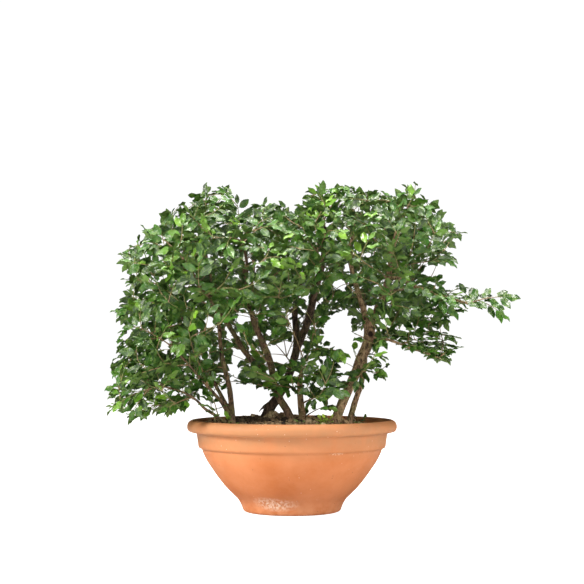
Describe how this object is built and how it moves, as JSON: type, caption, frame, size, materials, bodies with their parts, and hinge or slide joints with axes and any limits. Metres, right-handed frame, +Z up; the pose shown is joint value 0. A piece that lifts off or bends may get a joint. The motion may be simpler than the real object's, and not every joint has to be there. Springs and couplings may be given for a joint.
{
  "type": "elm bonsai",
  "caption": "Clump of small elm trees with slim leaning trunks and leafy sprays, planted together in a round terracotta bowl with a rolled rim.",
  "frame": {"origin": "centre of the flat foot that the bowl stands on", "axes": "+Z up, +X along the clump's widest side towards the twin trunk with the long boughs, -Y towards the side that the clump is seen from"},
  "size_m": [0.5767, 0.3135, 0.472],
  "materials": {
    "terracotta": "matte",
    "potting_soil": "matte",
    "bark": "matte",
    "foliage": "satin"
  },
  "bodies": {
    "root": {"bowl": "terracotta", "centre_stem_spray_1": "foliage", "centre_stem_spray_2": "foliage", "centre_stem_spray_3": "foliage", "centre_stem_spray_4": "foliage", "centre_stem_spray_5": "foliage", "centre_tree": "bark", "dark_back_branch": "foliage", "dark_front_branch": "foliage", "dark_left_fork_spray_1": "foliage", "dark_left_fork_spray_2": "foliage", "dark_left_fork_spray_3": "foliage", "dark_left_fork_spray_4": "foliage", "dark_right_fork_spray_1": "foliage", "dark_right_fork_spray_2": "foliage", "dark_side_branch": "foliage", "dark_tree": "bark", "leaning_back_branch": "foliage", "leaning_fork_spray_1": "foliage", "leaning_fork_spray_2": "foliage", "leaning_fork_spray_3": "foliage", "leaning_fork_spray_4": "foliage", "leaning_front_branch": "foliage", "leaning_tree": "bark", "leaning_trunk_spray_1": "foliage", "leaning_trunk_spray_2": "foliage", "leaning_trunk_spray_3": "foliage", "left_front_branch": "foliage", "left_inner_stem_spray_1": "foliage", "left_inner_stem_spray_2": "foliage", "left_low_stem_spray_1": "foliage", "left_low_stem_spray_2": "foliage", "left_low_stem_spray_3": "foliage", "left_slanting_stem_spray_1": "foliage", "left_slanting_stem_spray_2": "foliage", "left_slanting_stem_spray_3": "foliage", "left_stem_spray_1": "foliage", "left_stem_spray_2": "foliage", "left_stem_spray_3": "foliage", "left_tree": "bark", "right_back_branch": "foliage", "right_front_branch": "foliage", "right_long_bough_spray_1": "foliage", "right_long_bough_spray_2": "foliage", "right_low_bough_spray_1": "foliage", "right_low_bough_spray_2": "foliage", "right_side_branch": "foliage", "right_tree": "bark", "right_trunk_spray_1": "foliage", "right_trunk_spray_2": "foliage", "right_trunk_spray_3": "foliage", "right_trunk_spray_4": "foliage", "right_trunk_spray_5": "foliage", "right_upper_trunk_spray_1": "foliage", "right_upper_trunk_spray_2": "foliage", "right_upper_trunk_spray_3": "foliage", "right_upper_trunk_spray_4": "foliage", "soil": "potting_soil"}
  },
  "joints": []
}
